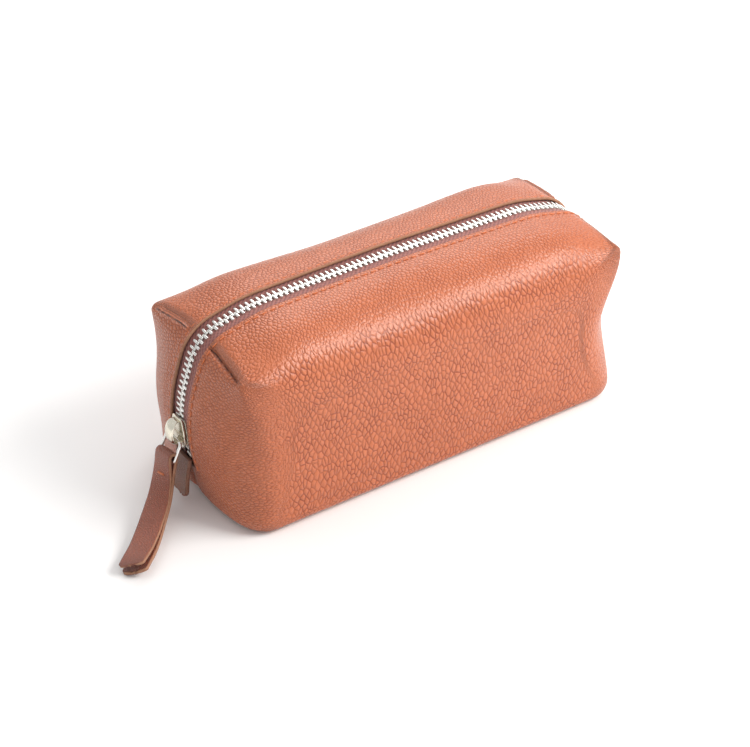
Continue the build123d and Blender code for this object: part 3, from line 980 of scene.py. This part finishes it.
def between(values, place):
    """A smooth curve through evenly spaced values, at a place counted in stations."""
    low = min(int(place), len(values) - 2)
    t = place - low
    before = values[max(low - 1, 0)]
    a, b = values[low], values[low + 1]
    after = values[min(low + 2, len(values) - 1)]
    return (
        a * 2
        + (b - before) * t
        + (before * 2 - a * 5 + b * 4 - after) * t * t
        + (a * 3 - before - b * 3 + after) * t * t * t
    ) * 0.5


strap_middles = [RING_BAR + Vector(station[:3]) for station in STRAP_STATIONS]
strap_gaps = [station[3] for station in STRAP_STATIONS]
strap_end = len(STRAP_STATIONS) - 1
strap_reach = sum((b - a).length for a, b in zip(strap_middles, strap_middles[1:]))


def strap_frame(place):
    """Middle, half gap, and the directions across and out of the strap at a place along it."""
    middle = between(strap_middles, place)
    ahead = between(strap_middles, min(place + 0.05, strap_end))
    behind = between(strap_middles, max(place - 0.05, 0))
    along = (ahead - behind).normalized()
    straight = smooth(0, 0.8, place)
    along = (Vector((0, 0, -1)) * (1 - straight) + along * straight).normalized()
    twist = place / strap_end
    across = Vector((0, -1, 0)) * (1 - twist) + STRAP_TILT * twist
    across = (across - along * across.dot(along)).normalized()
    return middle, between(strap_gaps, place), across, along.cross(across)


def strap_point(run, share):
    """A point of the folded strip. run goes from -1 at one tip over the fold at 0 to 1 at the other."""
    side = 1 if run > 0 else -1
    place = max(0.0, (abs(run) - FOLD_SHARE) / (1 - FOLD_SHARE))
    middle, gap, across, out = strap_frame(place * strap_end)
    half = STRAP_WIDTH / 2
    if abs(run) < FOLD_SHARE:
        turn = run / FOLD_SHARE * pi / 2
        centre = middle + out * gap * sin(turn) + Vector((0, 0, 1)) * gap * cos(turn)
    else:
        centre = middle + out * side * gap
        left = (1 - place) * strap_reach
        if left < STRAP_TIP:
            half *= 0.16 + 0.84 * sqrt(1 - (1 - left / STRAP_TIP) ** 2.2)
    curl = STRAP_CURL * (2 * share - 1) ** 2 * side
    skew = STRAP_SKEW * (1 - smooth(0.0, 1.4, place * strap_end))
    lifted = Vector((0, 0, skew * 2 * half * share))
    return centre + across * half * (2 * share - 1) - out * curl + lifted


# The panels' leather copied darker and more purple as painted shade, with a finer grain.
shaded_strap_leather = leather_material(
    "shaded_strap_leather", (0.36, 0.096, 0.050), (0.18, 0.036, 0.016), (0.43, 0.122, 0.066), 1000
)
bm = bmesh.new()
bmesh.ops.create_grid(bm, x_segments=150, y_segments=14, size=0.5)
sheet_layer = bm.verts.layers.float_vector.new("sheet")
for v in bm.verts:
    run, share = 2 * v.co.x, v.co.y + 0.5
    v[sheet_layer] = Vector(((share - 0.5) * STRAP_WIDTH, run * strap_reach, 0)) * MM
    v.co = strap_point(run, share) * MM
strap = finished("folded_strap", bm, [shaded_strap_leather, raw_edge], "strap", "pull_strap")
thickness = strap.modifiers.new("leather_thickness", "SOLIDIFY")
thickness.thickness = LEATHER * MM
thickness.offset = 0
thickness.material_offset_rim = 1


# ---- Tack ----
# A short bar of orange-red stitches through both layers of the strap, just under the ring. Two
# strands of polyester thread show on each face.
THREAD_COLOUR = (0.72, 0.20, 0.055)
THREAD_DARK = (0.46, 0.09, 0.02)
THREAD_HALF = 0.30
TACK_PLACE = 0.85
TACK_STEP = 0.055
TACK_WIDTH = 5.4


def thread_material(name, colour, dark):
    """Twisted polyester thread."""
    material, nodes, links, shader = new_material(name)
    place = nodes.new("ShaderNodeTexCoord")
    twist = nodes.new("ShaderNodeTexWave")
    twist.bands_direction = "DIAGONAL"
    twist.inputs["Scale"].default_value = 900
    twist.inputs["Distortion"].default_value = 1.5
    links.new(place.outputs["Object"], twist.inputs["Vector"])
    links.new(dyed(nodes, links, twist.outputs["Fac"], dark, colour), shader.inputs["Base Color"])
    embossed(nodes, links, twist.outputs["Fac"], 0.6, 0.1, shader.inputs["Normal"])
    shader.inputs["Roughness"].default_value = 0.6
    shader.inputs["Sheen Weight"].default_value = 0.3
    return material


thread = thread_material("orange_thread", THREAD_COLOUR, THREAD_DARK)


def stitch(bm, middle, along, out, length):
    """Adds one stitch: a short bowed capsule of thread, in millimetres."""
    made = bmesh.ops.create_uvsphere(bm, u_segments=8, v_segments=6, radius=1)["verts"]
    side = along.cross(out)
    for v in made:
        x, y, z = v.co
        bow = out * 0.1 * (1 - x * x)
        v.co = (middle + along * x * length / 2 + (side * y + out * z) * THREAD_HALF + bow) * MM


bm = bmesh.new()
for side in (-1, 1):
    for strand in range(2):
        middle, gap, across, out = strap_frame(TACK_PLACE + TACK_STEP * strand)
        face = middle + out * side * (gap + LEATHER / 2 + 0.12)
        stitch(bm, face, across, out * side, TACK_WIDTH + 0.4 * strand)
tack = finished("strap_tack", bm, [thread], "strap", "pull_tack")


# ---- End tabs ----
# A small leather tab sewn over each end of the zip. The near one hangs free under the slider, flesh
# side and cut edges showing.
TAB_WIDTH = 10.5
TAB_THICK = 1.7
TAB_ROOT = 23.4
TAB_TIP = 4.7
TAB_ROUND = 4.6
TAB_CUP = 0.5
TAB_LINE = [(-101.7, TAB_ROOT), (-102.0, 20.6), (-103.2, 15.0), (-103.7, 9.0), (-103.9, TAB_TIP)]
suede = leather_material(
    "tab_leather", (0.44, 0.19, 0.115), (0.17, 0.062, 0.038), (0.36, 0.16, 0.10), 1100
)
tab_edge = raw_edge_material("tab_edge", (0.30, 0.15, 0.10), (0.16, 0.07, 0.045))
tab_points = [Vector((x, 0, z)) for x, z in TAB_LINE]
for end, name, node in ((1, "near_tab", "end_tab_near"), (-1, "far_tab", "end_tab_far")):
    bm = bmesh.new()
    bmesh.ops.create_grid(bm, x_segments=60, y_segments=12, size=0.5)
    sheet_layer = bm.verts.layers.float_vector.new("sheet")
    for v in bm.verts:
        run, share = sin((v.co.x + 0.5) * pi / 2), 2 * v.co.y
        point = between(tab_points, run * (len(tab_points) - 1))
        left = (1 - run) * (TAB_ROOT - TAB_TIP)
        half = TAB_WIDTH / 2
        if left < TAB_ROUND:
            half *= 0.10 + 0.90 * sqrt(1 - (1 - left / TAB_ROUND) ** 2)
        cup = TAB_CUP * share * share * run
        v[sheet_layer] = Vector((share * half, run * 20, 0)) * MM
        v.co = Vector(((point.x - cup) * end, share * half, point.z)) * MM
    tab = finished(name, bm, [suede, tab_edge], "bag", node)
    thickness = tab.modifiers.new("leather_thickness", "SOLIDIFY")
    thickness.thickness = TAB_THICK * MM
    thickness.offset = 0
    thickness.material_offset_rim = 1


# ---- Topstitching ----
# A row of orange-red polyester thread beside each lip. It is sewn by machine through the leather, the
# tape and the lining.
STITCH_PITCH = 4.0
STITCH_LENGTH = 3.1
face_line = zip_route(0)
face_length = route_length(face_line)
for side, name, node, lip_place in (
    (-1, "front_topstitch", "topstitch_front", FRONT_LIP),
    (1, "back_topstitch", "topstitch_back", BACK_LIP),
):
    bm = bmesh.new()
    distance = STITCH_PITCH / 2
    while distance < face_length:
        point, along = walk(face_line, distance)
        if point.y > WINDOW_FOOT + 1:
            direction = Vector((along.x, 0, along.y))
            out = Vector((-along.y, 0, along.x))
            place = Vector((point.x, side * (lip_place + LIP_TO_STITCH), point.y)) + out * 0.02
            stitch(bm, place, direction, out, STITCH_LENGTH)
        distance += STITCH_PITCH
    row = finished(name, bm, [thread], "bag", node)


# ---- Floor, light and camera ----
# A white table under three softboxes and a pale sky, seen as in the photograph: from the front left
# and above.
CAMERA_PLACE = (-413.0, -606.1, 539.1)
CAMERA_AIM = (-8.07, 0.0, 27.07)
LENS = 100.0
camera_data = bpy.data.cameras.new("camera")
camera_data.lens = LENS
camera = bpy.data.objects.new("camera", camera_data)
camera.location = Vector(CAMERA_PLACE) * MM
camera.rotation_euler = (Vector(CAMERA_AIM) - Vector(CAMERA_PLACE)).to_track_quat("-Z", "Y").to_euler()
bpy.context.scene.collection.objects.link(camera)
bpy.context.scene.camera = camera

floor_mesh = bpy.data.meshes.new("floor")
bm = bmesh.new()
bmesh.ops.create_grid(bm, x_segments=1, y_segments=1, size=3.0)
bm.to_mesh(floor_mesh)
bm.free()
floor = bpy.data.objects.new("floor", floor_mesh)
bpy.context.scene.collection.objects.link(floor)
white_table, _, _, shader = new_material("white_table")
shader.inputs["Base Color"].default_value = (0.93, 0.93, 0.93, 1)
shader.inputs["Roughness"].default_value = 0.9
floor_mesh.materials.append(white_table)


def area_light(name, place, aim, size, power, colour):
    """A rectangular softbox at a place in metres, turned towards its aim."""
    data = bpy.data.lights.new(name, "AREA")
    data.shape = "RECTANGLE"
    data.size, data.size_y = size
    data.energy = power
    data.color = colour
    made = bpy.data.objects.new(name, data)
    made.location = place
    made.rotation_euler = (Vector(aim) - Vector(place)).to_track_quat("-Z", "Y").to_euler()
    bpy.context.scene.collection.objects.link(made)


for name, place, aim, size, power, colour in (
    ("overhead_softbox", (0.47, -0.53, 0.68), (0.02, 0, 0.05), (0.50, 0.40), 7.6, (1.0, 0.98, 0.95)),
    ("back_softbox", (0.50, 0.62, 0.75), (0, 0, 0.04), (0.8, 0.6), 5.0, (1.0, 0.98, 0.96)),
    ("front_softbox", (0.70, -0.55, 0.42), (0.03, 0, 0.03), (0.6, 0.5), 1.2, (1.0, 0.97, 0.93)),
):
    area_light(name, place, aim, size, power, colour)

world = bpy.data.worlds.new("studio")
bpy.context.scene.world = world
world.use_nodes = True
tree = world.node_tree
background = tree.nodes["Background"]
sky_place = tree.nodes.new("ShaderNodeTexCoord")
towards = tree.nodes.new("ShaderNodeVectorMath")
towards.operation = "DOT_PRODUCT"
towards.inputs[1].default_value = (0.45, 0.05, 0.89)
tree.links.new(sky_place.outputs["Generated"], towards.inputs[0])
sky = tree.nodes.new("ShaderNodeMapRange")
sky.inputs["From Min"].default_value = -0.6
sky.inputs["From Max"].default_value = 0.9
sky.inputs["To Min"].default_value = 0.70
sky.inputs["To Max"].default_value = 0.74
tree.links.new(towards.outputs["Value"], sky.inputs["Value"])
path = tree.nodes.new("ShaderNodeLightPath")
seen = tree.nodes.new("ShaderNodeMix")
seen.data_type = "FLOAT"
tree.links.new(path.outputs["Is Camera Ray"], seen.inputs["Factor"])
tree.links.new(sky.outputs["Result"], seen.inputs["A"])
seen.inputs["B"].default_value = 1.0
tree.links.new(seen.outputs["Result"], background.inputs["Strength"])
background.inputs["Color"].default_value = (1, 1, 1, 1)
bpy.context.scene.view_settings.view_transform = "Standard"
